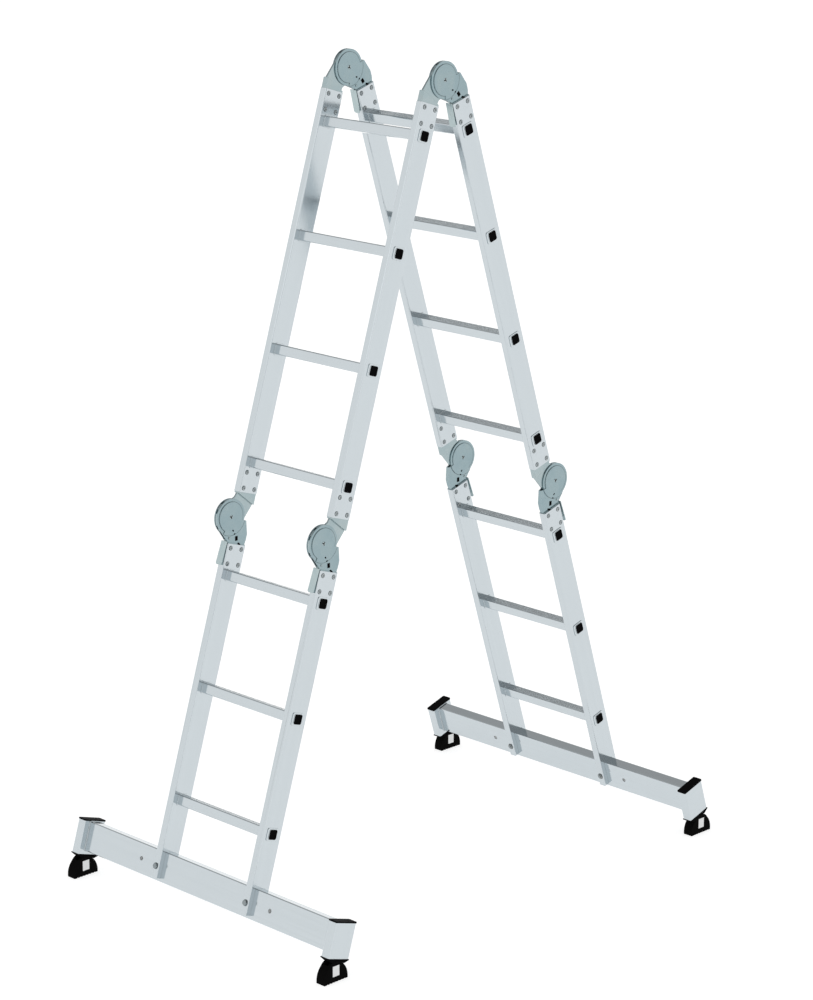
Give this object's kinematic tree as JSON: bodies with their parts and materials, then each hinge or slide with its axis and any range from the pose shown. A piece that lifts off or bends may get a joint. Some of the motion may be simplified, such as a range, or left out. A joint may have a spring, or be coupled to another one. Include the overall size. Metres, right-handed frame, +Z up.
{
  "type": "multi position ladder",
  "caption": "Hinged aluminium multi position ladder in four rung sections with lockable joints, standing as a step ladder on two wide stabiliser feet.",
  "frame": {"origin": "on the floor, midway between the four shoes and under the top hinge axis", "axes": "+Z up, +X along the rungs to the right when facing the front leg, -Y towards the front leg"},
  "size_m": [0.9314, 1.384, 2.0298],
  "materials": {
    "aluminium": "satin extruded",
    "hinge_steel": "zinc plated",
    "black_plastic": "matt",
    "rubber": "matt",
    "pale_plastic": "satin",
    "rivet": "satin",
    "bolt": "zinc plated",
    "pin_steel": "zinc plated",
    "spring_steel": "bright"
  },
  "bodies": {
    "front_upper": {"front_upper_rail_left": "aluminium", "front_upper_rail_right": "aluminium", "front_upper_rungs": "aluminium", "front_upper_rung_plugs": "black_plastic", "front_upper_rivets": "rivet", "top_hinge_leaf_left": "hinge_steel", "front_hinge_leaf_left": "hinge_steel", "top_hinge_leaf_right": "hinge_steel", "front_hinge_leaf_right": "hinge_steel"},
    "front_lower": {"front_lower_rail_left": "aluminium", "front_lower_rail_right": "aluminium", "front_lower_rungs": "aluminium", "front_lower_rung_plugs": "black_plastic", "front_lower_rivets": "rivet", "front_hinge_case_left": "hinge_steel", "front_hinge_case_right": "hinge_steel", "front_hinge_pins": "pin_steel", "front_hinge_springs": "spring_steel", "front_stabiliser": "aluminium", "front_stabiliser_bolts": "bolt", "front_post_caps": "black_plastic", "front_foot_sockets": "black_plastic"},
    "back_upper": {"back_upper_rail_left": "aluminium", "back_upper_rail_right": "aluminium", "back_upper_rungs": "aluminium", "back_upper_rung_plugs": "black_plastic", "back_upper_rivets": "rivet", "top_hinge_case_left": "hinge_steel", "back_hinge_leaf_left": "hinge_steel", "top_hinge_case_right": "hinge_steel", "back_hinge_leaf_right": "hinge_steel", "top_hinge_pins": "pin_steel", "top_hinge_springs": "spring_steel"},
    "back_lower": {"back_lower_rail_left": "aluminium", "back_lower_rail_right": "aluminium", "back_lower_rungs": "aluminium", "back_lower_rung_plugs": "black_plastic", "back_lower_rivets": "rivet", "back_hinge_case_left": "hinge_steel", "back_hinge_case_right": "hinge_steel", "back_hinge_pins": "pin_steel", "back_hinge_springs": "spring_steel", "back_stabiliser": "aluminium", "back_stabiliser_bolts": "bolt", "back_post_caps": "black_plastic", "back_foot_sockets": "black_plastic"},
    "front_shoe_left": {"front_shoe_left": "rubber", "front_shoe_inserts_left": "pale_plastic"},
    "front_shoe_right": {"front_shoe_right": "rubber", "front_shoe_inserts_right": "pale_plastic"},
    "back_shoe_left": {"back_shoe_left": "rubber", "back_shoe_inserts_left": "pale_plastic"},
    "back_shoe_right": {"back_shoe_right": "rubber", "back_shoe_inserts_right": "pale_plastic"},
    "top_lever_left": {"top_hinge_lever_left": "hinge_steel"},
    "top_lever_right": {"top_hinge_lever_right": "hinge_steel"},
    "front_lever_left": {"front_hinge_lever_left": "hinge_steel"},
    "front_lever_right": {"front_hinge_lever_right": "hinge_steel"},
    "back_lever_left": {"back_hinge_lever_left": "hinge_steel"},
    "back_lever_right": {"back_hinge_lever_right": "hinge_steel"}
  },
  "joints": [
    {"name": "top_fold", "type": "hinge", "parent": "front_upper", "child": "back_upper", "pos_m": [0, 0, 1.9853], "axis": [-1, 0, 0], "range_deg": [-144.95, 34]},
    {"name": "front_fold", "type": "hinge", "parent": "front_upper", "child": "front_lower", "pos_m": [0, -0.40305, 0.93806], "axis": [-1, 0, 0], "range_deg": [0, 180]},
    {"name": "back_fold", "type": "hinge", "parent": "back_upper", "child": "back_lower", "pos_m": [0, 0.40305, 0.93806], "axis": [1, 0, 0], "range_deg": [0, 180]},
    {"name": "front_foot_left", "type": "hinge", "parent": "front_lower", "child": "front_shoe_left", "pos_m": [-0.452, -0.65499, 0.024], "axis": [1, 0, 0], "range_deg": [-37.5, 2.5]},
    {"name": "front_foot_right", "type": "hinge", "parent": "front_lower", "child": "front_shoe_right", "pos_m": [0.452, -0.65499, 0.024], "axis": [1, 0, 0], "range_deg": [-37.5, 2.5]},
    {"name": "back_foot_left", "type": "hinge", "parent": "back_lower", "child": "back_shoe_left", "pos_m": [-0.452, 0.65499, 0.024], "axis": [1, 0, 0], "range_deg": [-2.5, 37.5]},
    {"name": "back_foot_right", "type": "hinge", "parent": "back_lower", "child": "back_shoe_right", "pos_m": [0.452, 0.65499, 0.024], "axis": [1, 0, 0], "range_deg": [-2.5, 37.5]},
    {"name": "top_release_left", "type": "hinge", "parent": "back_upper", "child": "top_lever_left", "pos_m": [-0.162, 0.02424, 1.93842], "axis": [1, 0, 0], "range_deg": [-9, 3]},
    {"name": "top_release_right", "type": "hinge", "parent": "back_upper", "child": "top_lever_right", "pos_m": [0.162, 0.02424, 1.93842], "axis": [1, 0, 0], "range_deg": [-9, 3]},
    {"name": "front_release_left", "type": "hinge", "parent": "front_lower", "child": "front_lever_left", "pos_m": [-0.162, -0.41013, 0.88577], "axis": [1, 0, 0], "range_deg": [-9, 3]},
    {"name": "front_release_right", "type": "hinge", "parent": "front_lower", "child": "front_lever_right", "pos_m": [0.162, -0.41013, 0.88577], "axis": [1, 0, 0], "range_deg": [-9, 3]},
    {"name": "back_release_left", "type": "hinge", "parent": "back_lower", "child": "back_lever_left", "pos_m": [-0.162, 0.41013, 0.88577], "axis": [-1, 0, 0], "range_deg": [-9, 3]},
    {"name": "back_release_right", "type": "hinge", "parent": "back_lower", "child": "back_lever_right", "pos_m": [0.162, 0.41013, 0.88577], "axis": [-1, 0, 0], "range_deg": [-9, 3]}
  ]
}
